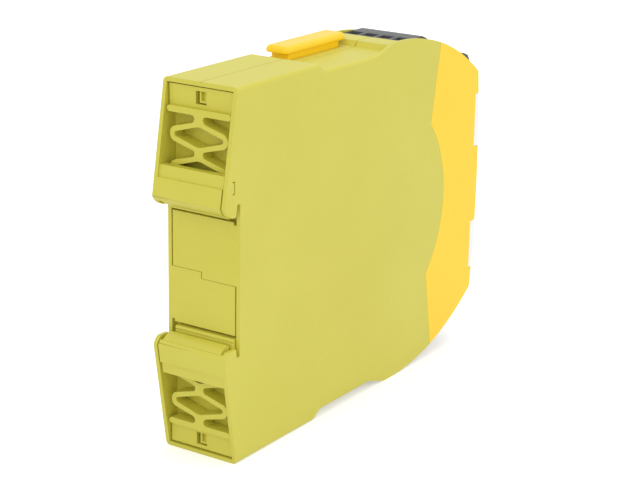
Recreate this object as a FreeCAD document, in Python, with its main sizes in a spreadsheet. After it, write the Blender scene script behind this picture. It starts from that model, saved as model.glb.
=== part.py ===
"""Safety relay for a 35 mm top-hat rail, in millimetres.

X runs across the width, Y out of the back and Z up. The origin is the middle of the rail seat,
so depths towards the front are negative in Y. The housing is two half shells, a front cover and
four pull-off terminal blocks. Each end has a moulded rail spring with a sliding rail foot.
"""
import FreeCAD, Part
import math
import os
from types import SimpleNamespace

import Sketcher

SIZES = {
    # Housing seen from the side
    "unit_width": 22.5,
    "half_height": 49.0,
    "rear_block_depth": 34.8,
    "waist_step": 2.3,
    "waist_drop": 2.0,
    "waist_length": 26.6,
    "ridge_run": 5.5,
    "shoulder_run": 6.6,
    "bow_run": 9.3,
    "bow_radius": 75.0,
    "front_rim": 3.7,
    "front_crown": 1.8,
    "edge_round": 1.1,
    # Walls
    "side_wall": 1.1,
    "top_wall": 1.6,
    "rim_wall": 1.1,
    "rear_wall": 1.4,
    "seat_wall": 1.6,
    "front_wall": 4.4,
    "seam_gap": 0.1,
    "groove": 0.25,
    # Rail slots, hooks and rear rims
    "rim_depth": 1.3,
    "hook_depth": 6.3,
    "hook_height": 19.7,
    "nose_depth": 2.0,
    "nose_height": 16.8,
    "nose_radius": 4.4,
    "slot_mouth": 1.6,
    "slot_mouth_height": 17.2,
    "slot_end": 1.15,
    "slot_end_height": 19.9,
    "slit_width": 0.35,
    "slit_depth": 2.2,
    "slit_reach": 0.9,
    "slit_low": 22.7,
    "slit_high": 26.1,
    # Seat plates and hook bars between the side walls
    "plate_height": 14.8,
    "plate_gap": 0.4,
    "plate_nick": 0.7,
    "plate_seam_high": 0.1,
    "plate_seam_low": -1.8,
    "plate_step": 0.7,
    "pocket_depth": 2.0,
    "bar_height": 27.5,
    "bar_step_height": 24.4,
    "bar_step": 0.5,
    "bar_back": 2.4,
    "roll_height": 18.4,
    "roll_sink": 1.15,
    "hook_trim": 0.8,
    "notch_width": 1.1,
    # Seam between the shells and the front cover
    "cover_depth": 28.8,
    "kink_height": 22.3,
    "bulge_radius": 33.0,
    "seam_lean": 4.9,
    # Terminal decks
    "ridge_drop": 0.5,
    "ridge_width": 6.85,
    "ridge_lean": 1.0,
    "rear_deck_drop": 8.95,
    "front_deck_drop": 8.55,
    "deck_step": 9.3,
    "deck_wall": 1.4,
    # Terminal blocks
    "block_length": 14.8,
    "block_height": 8.1,
    "block_clearance": 0.1,
    "block_nose": 3.4,
    "block_shoulder": 1.1,
    "block_drop": 0.9,
    "block_chin": 2.4,
    "pole_pitch": 5.08,
    "wire_setback": 11.0,
    "wire_funnel": 3.9,
    "wire_hole": 3.0,
    "funnel_drop": 1.3,
    "screw_drop": 4.3,
    "screw_hole": 1.85,
    "screw_recess": 2.6,
    "screw_radius": 1.7,
    "screw_length": 6.2,
    "cage_width": 3.9,
    "cage_length": 6.0,
    "cage_height": 5.0,
    "cage_wall": 0.8,
    "cage_drop": 1.5,
    "fit_gap": 0.1,
    "rib_groove": 0.35,
    "pin_size": 0.8,
    "pin_drop": 7.0,
    "pin_slot": 1.2,
    "pin_reach": 7.5,
    "header_width": 19.3,
    "header_height": 3.8,
    "header_length": 4.0,
    "tail_pitch": 1.2,
    # Front panel
    "label_low": 10.5,
    "label_high": 26.7,
    "label_fall": -0.7,
    "label_depth": 2.3,
    "label_proud": 0.15,
    "window_across": 6.2,
    "window_width": 2.8,
    "window_height": 1.5,
    "window_pitch": 3.3,
    "selector_across": -3.4,
    "selector_height": -1.0,
    "selector_radius": 3.0,
    "selector_sink": 0.5,
    "selector_slot": 1.0,
    "switch_side": 9.0,
    "switch_depth": 4.5,
    "lamp_width": 2.0,
    "lamp_height": 1.2,
    "lamp_depth": 1.2,
    # Link plug in the top
    "plug_across": 6.4,
    "plug_width": 5.8,
    "plug_setback": 4.3,
    "plug_length": 24.4,
    "cap_width": 7.4,
    "cap_rear_lip": 2.0,
    "cap_front_lip": 2.4,
    "cap_lift": 0.1,
    "cap_height": 1.9,
    "cap_corner": 1.2,
    "cap_round": 0.8,
    "plug_reach": 8.5,
    "tongue_drop": 3.0,
    "plug_step": 0.5,
    "socket_wall": 0.6,
    "socket_floor": 2.5,
    # Rail spring and rail foot
    "spring_face": 2.0,
    "spring_back": 0.2,
    "spring_wall": 1.25,
    "spring_reach": 8.9,
    "neck_width": 2.6,
    "crossbar_drop": 7.6,
    "crossbar_width": 1.6,
    "crossbar_reach": 9.9,
    "loop_rise": 1.9,
    "neck_rise": 3.8,
    "anchor_face": 0.9,
    "anchor_wall": 1.5,
    "anchor_reach": 9.75,
    "anchor_drop": 1.5,
    "window_side": 3.3,
    "window_drop": 4.1,
    "nib_side_gap": 0.9,
    "nib_end_gap": 0.35,
    "nib_wall": 0.5,
    "nib_sink": 0.4,
    "nib_hollow": 0.9,
    "foot_gap": 0.7,
    "foot_height": 5.0,
    "foot_face": 1.0,
    "foot_long": 9.9,
    "foot_short": 8.4,
    "foot_chamfer": 0.35,
    # Boards and inner parts
    "board_wall": 1.6,
    "board_left": -9.9,
    "board_rear": 6.0,
    "board_margin": 12.0,
    "board_setback": 4.3,
    "panel_reach": 6.7,
    "panel_low": -11.5,
    "panel_high": 9.5,
    "pad_size": 4.0,
    "relay_width": 15.8,
    "relay_length": 42.0,
    "relay_height": 14.0,
    "relay_rear": 9.0,
    "relay_gap": 5.0,
    "core_width": 14.0,
    "core_length": 20.0,
    "core_height": 16.0,
    "core_rear": 14.0,
    "core_limb": 2.5,
    "coil_width": 8.8,
    "coil_height": 2.3,
    "coil_overhang": 2.0,
    "can_radius": 5.0,
    "can_length": 12.0,
    "can_gap": 5.0,
    "can_clearance": 4.0,
    "chip_thickness": 1.6,
    "chip_size": 12.0,
    "chip_gap": 2.0,
}

POLES = 4
WINDOWS = 5
FAR = 30.0  # how far a cutting tool reaches past the part that it cuts

doc = FreeCAD.newDocument("SafetyRelay")
sheet = doc.addObject("Spreadsheet::Sheet", "Sizes")


class Size:
    """A length together with the spreadsheet expression that drives it."""

    def __init__(self, value, text):
        self.value = value
        self.text = text

    def __add__(self, other):
        other = as_size(other)
        return Size(self.value + other.value, f"({self.text} + {other.text})")

    def __sub__(self, other):
        other = as_size(other)
        return Size(self.value - other.value, f"({self.text} - {other.text})")

    def __mul__(self, other):
        other = as_size(other)
        return Size(self.value * other.value, f"({self.text} * {other.text})")

    def __truediv__(self, other):
        other = as_size(other)
        return Size(self.value / other.value, f"({self.text} / {other.text})")

    def __neg__(self):
        return Size(-self.value, f"(0 - {self.text})")

    def root(self):
        return Size(math.sqrt(self.value), f"sqrt({self.text})")


def as_size(number):
    return number if isinstance(number, Size) else Size(float(number), repr(float(number)))


def fill_sheet():
    """Writes the driving dimensions into the spreadsheet and returns them by name."""
    found = {}
    for row, (name, value) in enumerate(SIZES.items(), start=1):
        sheet.set(f"A{row}", name.replace("_", " "))
        sheet.set(f"B{row}", str(value))
        sheet.setAlias(f"B{row}", name)
        found[name] = Size(value, f"Sizes.{name}")
    doc.recompute()
    return SimpleNamespace(**found)


s = fill_sheet()

# Depths and heights that follow from one another

s.waist_depth = s.rear_block_depth + s.waist_step
s.waist_half_height = s.half_height - s.waist_drop
s.ramp_depth = s.waist_depth + s.waist_length
s.ridge_depth = s.ramp_depth + s.ridge_run
s.ridge_height = s.half_height - s.ridge_drop
s.shoulder_depth = s.ramp_depth + s.shoulder_run
s.bow_depth = s.ramp_depth + s.bow_run
s.rear_deck_depth = s.ridge_depth + s.ridge_width
s.rear_deck_height = s.half_height - s.rear_deck_drop
s.rear_block_front = s.rear_deck_depth + s.block_clearance + s.block_length
s.front_deck_depth = s.rear_block_front + s.deck_step
s.front_deck_height = s.rear_deck_height - s.front_deck_drop
s.front_block_front = s.front_deck_depth + s.block_clearance + s.block_length
s.front_corner_depth = s.front_block_front + s.front_rim
s.front_depth = s.front_corner_depth + s.front_crown
s.kink_depth = s.front_depth - s.cover_depth
s.seam_end_depth = s.kink_depth + s.seam_lean
s.plug_near = s.waist_depth + s.plug_setback
s.plug_far = s.plug_near + s.plug_length
s.cap_near = s.plug_near - s.cap_rear_lip
s.cap_far = s.plug_far + s.cap_front_lip
s.cap_low = s.half_height - s.cap_lift
s.cap_high = s.cap_low + s.cap_height
s.plug_foot = s.waist_half_height - s.plug_reach
s.plug_shoulder = s.waist_half_height - s.tongue_drop
s.socket_low = s.plug_foot - s.socket_floor
s.crossbar_height = s.half_height - s.crossbar_drop
s.anchor_height = s.half_height - s.anchor_drop
s.window_middle = s.half_height - s.window_drop
s.foot_tip = s.plate_height + s.foot_gap
s.foot_top = s.foot_tip + s.foot_height
s.spring_slack = s.crossbar_height - s.foot_top - s.neck_rise * 4
s.loop_height = s.crossbar_height - s.neck_rise - s.spring_slack * 0.42
s.second_loop = s.foot_top + s.neck_rise + s.spring_slack * 0.4
s.board_half_height = s.half_height - s.board_margin
s.board_front = s.front_deck_depth - s.board_setback
s.panel_depth = s.front_deck_depth + s.panel_reach


# Ways of making a solid whose sizes follow the spreadsheet

PLANES = {"X": "YZ_Plane", "Y": "XZ_Plane", "Z": "XY_Plane"}
TURNS = {
    "X": FreeCAD.Rotation(FreeCAD.Vector(0, 1, 0), 90),
    "Y": FreeCAD.Rotation(FreeCAD.Vector(1, 0, 0), -90),
    "Z": FreeCAD.Rotation(),
}


class Arc:
    """Between two points of an outline: the edge is an arc that turns left or right."""

    def __init__(self, radius, turn="left"):
        self.radius = as_size(radius)
        self.turn = turn


def tie(item, path, length):
    """Binds one property of an object to the spreadsheet."""
    item.setExpression(path, as_size(length).text)


def arc_geometry(start, end, arc):
    middle = (start + end) * 0.5
    chord = end - start
    left = FreeCAD.Vector(-chord.y, chord.x, 0)
    left.normalize()
    rise = math.sqrt(max(arc.radius.value ** 2 - (chord.Length / 2) ** 2, 0.0))
    side = 1 if arc.turn == "left" else -1
    centre = middle + left * (rise * side)
    first, last = (start, end) if arc.turn == "left" else (end, start)
    angles = [math.atan2(p.y - centre.y, p.x - centre.x) for p in (first, last)]
    if angles[1] < angles[0]:
        angles[1] += 2 * math.pi
    circle = Part.Circle(centre, FreeCAD.Vector(0, 0, 1), arc.radius.value)
    return Part.ArcOfCircle(circle, *angles)


def draw(sketch, outline):
    """Draws a closed outline of points and arcs, each corner bound to the spreadsheet."""
    corners = []
    arcs = {}
    for item in outline:
        if isinstance(item, Arc):
            arcs[len(corners) - 1] = item
        else:
            corners.append((as_size(item[0]), as_size(item[1])))
    places = [FreeCAD.Vector(u.value, v.value, 0) for u, v in corners]
    ends = []
    for index, start in enumerate(places):
        end = places[(index + 1) % len(places)]
        arc = arcs.get(index)
        if arc is None:
            sketch.addGeometry(Part.LineSegment(start, end), False)
            ends.append((1, 2))
        else:
            sketch.addGeometry(arc_geometry(start, end, arc), False)
            ends.append((1, 2) if arc.turn == "left" else (2, 1))
    for index in range(len(places)):
        after = (index + 1) % len(places)
        joint = Sketcher.Constraint("Coincident", index, ends[index][1], after, ends[after][0])
        sketch.addConstraint(joint)
    for index, corner in enumerate(corners):
        for kind, length in zip(("DistanceX", "DistanceY"), corner):
            rule = Sketcher.Constraint(kind, -1, 1, index, ends[index][0], length.value)
            number = sketch.addConstraint(rule)
            tie(sketch, f"Constraints[{number}]", length)
    for index, arc in arcs.items():
        number = sketch.addConstraint(Sketcher.Constraint("Radius", index, arc.radius.value))
        tie(sketch, f"Constraints[{number}]", arc.radius)


def prism(name, axis, outline, low, high, taper=None):
    """A body padded along one axis from an outline in the plane across it."""
    low = as_size(low)
    high = as_size(high)
    body = doc.addObject("PartDesign::Body", name)
    sketch = body.newObject("Sketcher::SketchObject", name + "_outline")
    plane = [item for item in body.Origin.OriginFeatures if item.Role == PLANES[axis]][0]
    sketch.AttachmentSupport = [(plane, "")]
    sketch.MapMode = "FlatFace"
    draw(sketch, outline)
    tie(sketch, "AttachmentOffset.Base.z", -high if axis == "Y" else low)
    pad = body.newObject("PartDesign::Pad", name + "_pad")
    pad.Profile = sketch
    tie(pad, "Length", high - low)
    if taper is not None:
        pad.TaperAngle = taper
    return body


def box(name, across, depth, height):
    """A box from its low and high X, Y and Z."""
    solid = doc.addObject("Part::Box", name)
    for side, base, (low, high) in (
        ("Length", "x", across), ("Width", "y", depth), ("Height", "z", height),
    ):
        tie(solid, side, as_size(high) - as_size(low))
        tie(solid, f"Placement.Base.{base}", low)
    return solid


def rod(name, axis, centre, radius, length):
    """A cylinder that runs along an axis from its centre point."""
    solid = doc.addObject("Part::Cylinder", name)
    solid.Placement = FreeCAD.Placement(FreeCAD.Vector(), TURNS[axis])
    tie(solid, "Radius", radius)
    tie(solid, "Height", length)
    for base, value in zip("xyz", centre):
        tie(solid, f"Placement.Base.{base}", value)
    return solid


def fuse(name, *pieces):
    if len(pieces) == 1:
        return pieces[0]
    solid = doc.addObject("Part::MultiFuse", name)
    solid.Shapes = list(pieces)
    solid.Refine = True
    return solid


def cut(name, base, *tools):
    solid = doc.addObject("Part::Cut", name)
    solid.Base = base
    solid.Tool = fuse(name + "_tools", *tools)
    solid.Refine = True
    return solid


def common(name, base, tool):
    solid = doc.addObject("Part::Common", name)
    solid.Base = base
    solid.Tool = tool
    solid.Refine = True
    return solid


def group(name, pieces):
    """Like pieces that stay separate solids in one sub-part."""
    solid = doc.addObject("Part::Compound", name)
    solid.Links = list(pieces)
    return solid


def mirror(name, source, axis):
    solid = doc.addObject("Part::Mirroring", name)
    solid.Source = source
    solid.Base = FreeCAD.Vector()
    solid.Normal = {"X": FreeCAD.Vector(1, 0, 0), "Z": FreeCAD.Vector(0, 0, 1)}[axis]
    return solid


def turned(name, source):
    """The same piece turned half a turn about Y, as at the other end of the housing."""
    return mirror(name, mirror(name + "_flip", source, "X"), "Z")


def dress(body, kind, path, length, chosen):
    """Rounds or bevels the edges of a body that the test picks."""
    doc.recompute()
    base = body.Tip
    names = []
    for number, edge in enumerate(base.Shape.Edges, start=1):
        if chosen(edge):
            names.append(f"Edge{number}")
    change = body.newObject("PartDesign::" + kind, body.Name + "_" + kind.lower())
    change.Base = (base, names)
    tie(change, path, length)
    body.Tip = change
    return body


def rounded(body, radius, chosen):
    return dress(body, "Fillet", "Radius", radius, chosen)


def bevelled(body, size, chosen):
    return dress(body, "Chamfer", "Size", size, chosen)


def ends_of(edge):
    return [vertex.Point for vertex in edge.Vertexes]


def is_along(edge, axis):
    """True for a straight edge that runs along X, Y or Z."""
    if len(edge.Vertexes) != 2:
        return False
    run = edge.Vertexes[1].Point - edge.Vertexes[0].Point
    across = [abs(value) for key, value in zip("XYZ", run) if key != axis]
    return max(across) < 1e-6 and run.Length > 1e-6


nodes = {}


def node(name, solid):
    solid.Label = name
    nodes[name] = solid
    return solid


# Lines that several pieces share

half_width = s.unit_width / 2
inner_half = half_width - s.side_wall
beyond = s.half_height + FAR
ahead = -(s.front_depth + FAR)
behind = s.hook_depth + FAR
corner_height = s.half_height - s.bow_radius + (
    s.bow_radius * s.bow_radius
    - (s.front_corner_depth - s.bow_depth) * (s.front_corner_depth - s.bow_depth)
).root()
front_sag = s.front_depth - s.front_corner_depth
front_radius = (corner_height * corner_height + front_sag * front_sag) / (front_sag * 2)
rim_slope = (s.hook_depth - s.rim_depth) / (s.half_height - s.hook_height)


def rim_at(height):
    """Depth of the slanted rear rim at a height."""
    return s.rim_depth + (s.half_height - height) * rim_slope


def front_at(height):
    """Depth of the bowed front face at a height, towards the front negative."""
    height = as_size(height)
    drop = front_radius - (front_radius * front_radius - height * height).root()
    return drop - s.front_depth


def both_ends(upper):
    """Closes an upper outline with its mirror image below."""
    lower = []
    for item in reversed(upper):
        lower.append(item if isinstance(item, Arc) else (item[0], -as_size(item[1])))
    return upper + lower


# Housing

def make_silhouette():
    """The outer form of the whole housing: rail slots, hooks, waist, shoulders and bowed front."""
    upper = [
        (0, s.slot_end_height),
        (s.slot_end, s.slot_end_height),
        (s.slot_mouth, s.slot_mouth_height),
        (s.nose_depth, s.nose_height),
        Arc(s.nose_radius),
        (s.hook_depth, s.hook_height),
        (s.rim_depth, s.half_height),
        (-s.rear_block_depth, s.half_height),
        (-s.waist_depth, s.waist_half_height),
        (-s.ramp_depth, s.waist_half_height),
        (-s.shoulder_depth, s.half_height),
        (-s.bow_depth, s.half_height),
        Arc(s.bow_radius),
        (-s.front_corner_depth, corner_height),
    ]
    outline = both_ends(upper)
    outline.insert(len(upper), Arc(front_radius))
    body = prism("silhouette", "X", outline, -half_width, half_width)
    low = s.waist_half_height.value - 0.01
    front = -s.ramp_depth.value - 0.01

    def is_roof_edge(edge):
        points = ends_of(edge)
        inside = all(abs(p.z) > low and p.y > front for p in points)
        return inside and abs(points[0].x - points[-1].x) < 0.01

    return rounded(body, s.edge_round, is_roof_edge)


def make_cavity():
    """The hollow inside the shells and the front cover."""
    floor = -(s.pocket_depth + s.rear_wall)
    web = s.plate_height - s.rear_wall
    roof = s.half_height - s.top_wall
    waist = s.waist_half_height - s.top_wall
    rear_deck = -(s.rear_deck_depth - s.deck_wall)
    front_deck = -(s.front_deck_depth - s.deck_wall)
    upper = [
        (-s.seat_wall, web),
        (floor, web),
        (floor, roof),
        (-s.rear_block_depth + 0.4, roof),
        (-s.waist_depth + 0.6, waist),
        (rear_deck, waist),
        (rear_deck, s.rear_deck_height - s.deck_wall),
        (front_deck, s.rear_deck_height - s.deck_wall),
        (front_deck, s.front_deck_height - s.deck_wall),
        (-(s.front_depth - s.front_wall), s.front_deck_height - s.deck_wall),
    ]
    return prism("cavity", "X", both_ends(upper), -inner_half, inner_half)


def make_terminal_recess():
    """The two open decks that hold the upper terminal blocks between the side walls."""
    outline = [
        (-s.rear_deck_depth, beyond),
        (-s.rear_deck_depth, s.rear_deck_height),
        (-s.front_deck_depth, s.rear_deck_height),
        (-s.front_deck_depth, s.front_deck_height),
        (ahead, s.front_deck_height),
        (ahead, beyond),
    ]
    steps = prism("upper_decks", "X", outline, -inner_half, inner_half)
    ridge = box("ridge_space", (-inner_half, inner_half), (-s.rear_deck_depth - 1, -s.ridge_depth),
                (s.ridge_height, beyond))
    ramp = prism("ramp_space", "X", [
        (-s.ramp_depth, s.waist_half_height),
        (-s.ramp_depth, beyond),
        (-s.ridge_depth, beyond),
        (-s.ridge_depth, s.ridge_height),
        (-s.ridge_depth + s.ridge_lean, s.waist_half_height),
    ], -inner_half, inner_half)
    return fuse("upper_terminal_recess", steps, ridge, ramp)


def header_window(name, depth, deck):
    """The opening in a deck wall that a pin header fills."""
    half = s.header_width / 2 + s.fit_gap
    low = deck + s.fit_gap * 2
    return box(name, (-half, half), (-depth - 1, -depth + s.deck_wall + 1),
               (low, low + s.header_height + s.fit_gap * 2))


def make_pocket():
    """The open pocket behind the upper rail spring, leaving the hook bar across it."""
    space = box("pocket_space", (-inner_half, inner_half), (-s.pocket_depth, behind),
                (s.plate_height, s.half_height - s.rim_wall))
    keep = prism("bar_zone", "X", [
        (s.slot_end, s.slot_end_height),
        (s.slot_mouth, s.slot_mouth_height),
        (s.slot_mouth, s.plate_height - 1),
        (behind, s.plate_height - 1),
        (behind, s.bar_height),
        (s.bar_back, s.bar_height),
        (s.bar_back, s.slot_end_height + 0.9),
    ], -inner_half - 1, inner_half + 1)
    space = cut("pocket_around_bar", space, keep)
    top = s.bar_height + 0.1
    step = prism("bar_step_space", "X", [
        (rim_at(s.bar_step_height) - s.bar_step, s.bar_step_height),
        (behind, s.bar_step_height),
        (behind, top),
        (rim_at(top) - s.bar_step, top),
    ], -inner_half, inner_half)
    gap = box("bar_end_gap", (-inner_half, -inner_half + s.plate_gap), (s.slot_end - 0.1, behind),
              (s.plate_height, top))
    rolled = (s.plate_height, s.roll_height)
    notches = []
    for low, high in ((inner_half - s.notch_width, inner_half),
                      (-inner_half, -inner_half + s.notch_width)):
        notches.append(box("roll_end_notch", (low, high), (s.slot_end - 0.1, behind), rolled))
    roll = prism("around_roll", "X", [
        (s.nose_depth, s.nose_height),
        Arc(s.nose_radius),
        (s.hook_depth - s.roll_sink, s.roll_height),
        (behind, s.roll_height),
        (behind, s.nose_height - 1),
        (s.nose_depth, s.nose_height - 1),
    ], -inner_half, inner_half)
    return fuse("upper_pocket", space, step, gap, roll, *notches)


def make_hook_trims():
    """The lower hooks of the side walls end a little short, to clear the rail while clipping on."""
    trims = []
    for low, high in ((inner_half, half_width + 1), (-half_width - 1, -inner_half)):
        trims.append(box("hook_trim", (low, high), (s.slot_end - 0.1, behind),
                         (-s.nose_height - s.hook_trim, -s.plate_height)))
    return trims


def make_nib(name, middle):
    """The snap nib in the anchor plate's window, and the two ribs behind that plate."""
    window = s.window_side / 2
    near = s.fit_gap - window
    far = window - s.nib_side_gap
    low = middle - window + s.nib_end_gap
    high = middle + window - s.fit_gap
    floor = -s.pocket_depth - 0.2
    face = s.anchor_face - s.nib_sink
    block = box("nib_block", (near, far), (floor, face), (low, high))
    hollow = prism("nib_hollow", "Z", [
        (far - s.nib_wall, face + 1),
        (far - s.nib_wall, face - s.nib_hollow),
        (near, face),
        (near, face + 1),
    ], low + s.nib_wall, high + 1)
    ribs = [cut("nib", block, hollow)]
    for place in (-1, 1):
        across = s.anchor_reach * (place * 0.7)
        ribs.append(box("anchor_rib", (across - 0.5, across + 0.5),
                        (floor, s.anchor_face - s.anchor_wall),
                        (middle - window, middle + window)))
    return fuse(name, *ribs)


def make_slit():
    """The bracket-shaped relief slit in the side wall beside the hook."""
    outside = -half_width - 1
    inside = -inner_half + 0.01
    near = s.slit_depth
    back = box("slit_back", (outside, inside), (near, near + s.slit_width), (s.slit_low, s.slit_high))
    foot = box("slit_foot", (outside, inside), (near, near + s.slit_reach),
               (s.slit_low, s.slit_low + s.slit_width))
    head = box("slit_head", (outside, inside), (near, near + s.slit_reach),
               (s.slit_high - s.slit_width, s.slit_high))
    return fuse("relief_slit", back, foot, head)


def make_plate_gaps():
    """Gaps and fine seams between the two rear seat plates and the side walls."""
    through = (-s.seat_wall - 0.1, behind)
    skin = (-s.groove, behind)
    fine = s.groove / 2
    end = inner_half - s.plate_gap
    return [
        box("upper_plate_gap", (end, inner_half), through, (s.plate_seam_high, s.plate_height + 1)),
        box("lower_plate_gap", (-inner_half, -end), through,
            (-s.plate_height - 1, s.plate_seam_low)),
        box("upper_plate_nick", (-inner_half, -end + 0.5), through,
            (s.plate_height - s.plate_nick, s.plate_height + 1)),
        box("lower_plate_nick", (end - 0.5, inner_half), through,
            (-s.plate_height - 1, -s.plate_height + s.plate_nick)),
        box("step_gap", (s.plate_step - s.groove / 2, s.plate_step + s.groove / 2), through,
            (s.plate_seam_low, s.plate_seam_high)),
        box("high_seam", (s.plate_step, inner_half), skin,
            (s.plate_seam_high - fine, s.plate_seam_high)),
        box("low_seam", (-inner_half, s.plate_step), skin,
            (s.plate_seam_low, s.plate_seam_low + fine)),
    ]


def make_seam_grooves():
    """The fine line along the middle of the roof where the half shells meet."""
    half = s.groove / 2
    grooves = []
    for name, near, far, height in (
        ("block", behind, -s.rear_block_depth - 1, s.half_height),
        ("waist", -s.waist_depth, -s.ridge_depth + s.ridge_lean, s.waist_half_height),
    ):
        grooves.append(box(name + "_groove", (-half, half), (far, near),
                           (height - s.groove, height + FAR)))
    foot = s.ridge_lean - s.ridge_depth
    grooves.append(prism("ridge_face_groove", "X", [
        (foot - s.groove, s.waist_half_height - s.groove),
        (foot, s.waist_half_height - s.groove),
        (foot, beyond),
        (-s.ridge_depth - s.groove, beyond),
        (-s.ridge_depth - s.groove, s.ridge_height - s.groove),
    ], -half, half))
    grooves.append(box("ridge_top_groove", (-half, half), (-s.rear_deck_depth, -s.ridge_depth),
                       (s.ridge_height - s.groove, beyond)))
    return grooves


def front_zone(name, shift):
    """Everything in front of the curved seam between the shells and the front cover."""
    reach = s.half_height + 1
    body = prism(name, "X", [
        (-s.kink_depth, s.kink_height),
        Arc(s.bulge_radius),
        (-s.kink_depth, -s.kink_height),
        (-s.seam_end_depth, -reach),
        (ahead, -reach),
        (ahead, reach),
        (-s.seam_end_depth, reach),
    ], -half_width - 1, half_width + 1)
    tie(body, "Placement.Base.y", shift)
    return body


def make_case():
    """The whole housing before it is parted into shells and cover."""
    recess = make_terminal_recess()
    pocket = make_pocket()
    slit = make_slit()
    windows = [
        header_window("rear_header_window", s.rear_deck_depth, s.rear_deck_height),
        header_window("front_header_window", s.front_deck_depth, s.front_deck_height),
    ]
    upper = [recess, pocket, *windows]
    lower = [turned("lower_" + tool.Name, tool) for tool in upper]
    grooves = make_seam_grooves()
    under_grooves = [mirror("under_" + tool.Name, tool, "Z") for tool in grooves]
    tools = [make_cavity(), *upper, *lower, slit, turned("lower_slit", slit)]
    tools += grooves + under_grooves + make_plate_gaps() + make_hook_trims()
    hollow = cut("hollow_case", make_silhouette(), *tools)
    return fuse("case", hollow, make_nib("upper_anchor_seat", s.window_middle),
                make_nib("lower_anchor_seat", -s.window_middle))


def make_left_zone():
    """The space that belongs to the left shell: its half, its seat plate and its hook bar."""
    half = box("left_half", (-half_width - 1, 0), (ahead, behind), (-beyond, beyond))
    end = inner_half - s.plate_gap
    skin = (-s.seat_wall - 0.05, 0.5)
    nib = s.window_side / 2
    own = [
        box("own_plate_long", (-1, s.plate_step), skin, (s.plate_seam_low, s.plate_height)),
        box("own_plate_end", (-1, end), skin, (s.plate_seam_high, s.plate_height)),
        box("own_bar", (-1, end), (s.slot_end - 0.05, behind), (-s.bar_height, -s.plate_height)),
        box("own_nib", (-1, nib), (-s.pocket_depth, behind),
            (s.window_middle - nib, s.window_middle + nib)),
    ]
    other = [
        box("other_plate", (-end, 1), skin, (-s.plate_height, s.plate_seam_low)),
        box("other_bar", (-end, 1), (s.slot_end - 0.05, behind), (s.plate_height, s.bar_height)),
        box("other_nib", (-nib, 1), (-s.pocket_depth, behind),
            (-s.window_middle - nib, -s.window_middle + nib)),
    ]
    step = box("other_step", (s.plate_step, half_width), skin, (s.plate_seam_low, s.plate_seam_high))
    return cut("left_zone", fuse("left_claims", half, *own), *other, step)


def make_link_opening():
    gap = s.fit_gap * 2
    across = s.plug_width / 2 + gap
    return box("link_opening", (s.plug_across - across, s.plug_across + across),
               (-s.plug_far - gap, -s.plug_near + gap),
               (s.waist_half_height - s.top_wall - 1, s.waist_half_height + 1))


def make_board_pads():
    """Four pads on the left wall that the main board lies against."""
    pads = []
    half = s.pad_size / 2
    inset = s.pad_size
    for depth in (s.board_rear + inset, s.board_front - inset * 2):
        for height in (s.board_half_height - inset, -s.board_half_height + inset):
            pads.append(box("board_pad", (-inner_half - 0.2, s.board_left),
                            (-depth - half, -depth + half), (height - half, height + half)))
    return pads


def make_shells():
    case = make_case()
    shells = cut("case_without_front", case, front_zone("shell_front_zone", 0), make_link_opening())
    left_zone = make_left_zone()
    left = common("left_half_case", shells, left_zone)
    node("left_shell", fuse("left_shell_solid", left, *make_board_pads()))
    node("right_shell", cut("right_shell_solid", shells, left_zone))
    return case


def label_outline(low, high, depth, proud):
    """A slice of the bowed front face between two heights."""
    low = as_size(low)
    high = as_size(high)
    back = front_at((low + high) / 2) + depth
    return [
        (back, low),
        (back, high),
        (front_at(high) - proud, high),
        Arc(front_radius),
        (front_at(low) - proud, low),
    ]


def make_front_cover(case):
    front = common("front_of_case", case, front_zone("cover_front_zone", -s.seam_gap))
    tools = []
    for end, low, high in label_places():
        tools.append(prism(end + "_label_space", "X", label_outline(low, high, s.label_depth, 5),
                           -half_width - 1, half_width + 1))
    for number in range(WINDOWS):
        across, height = window_place(number)
        tools.append(box("light_window",
                         (across - s.window_width / 2 - s.fit_gap,
                          across + s.window_width / 2 + s.fit_gap),
                         (ahead, -s.panel_depth),
                         (height - s.window_height / 2 - s.fit_gap,
                          height + s.window_height / 2 + s.fit_gap)))
    tools.append(rod("selector_hole", "Y", (s.selector_across, ahead, s.selector_height),
                     s.selector_radius + s.fit_gap * 2, FAR + 10))
    node("front_cover", cut("front_cover_solid", front, *tools))


def label_places():
    return (
        ("upper", s.label_low, s.label_high),
        ("lower", -s.label_high + s.label_fall, -s.label_low - 2),
    )


def make_label_plates():
    """Flat label carriers that lie across the front in shallow notches."""
    gap = s.fit_gap
    for end, low, high in label_places():
        outline = label_outline(low + gap, high - gap, s.label_depth - gap, s.label_proud)
        node(end + "_label_plate", prism(end + "_label_plate_solid", "X", outline, -half_width,
                                         half_width))


def window_place(number):
    """Middle of one status window on the front."""
    height = s.window_pitch * ((WINDOWS - 1) / 2 - number) - 1
    return s.window_across, height


# Terminal blocks

def pole_across(number):
    return s.pole_pitch * (number - (POLES - 1) / 2)


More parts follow.
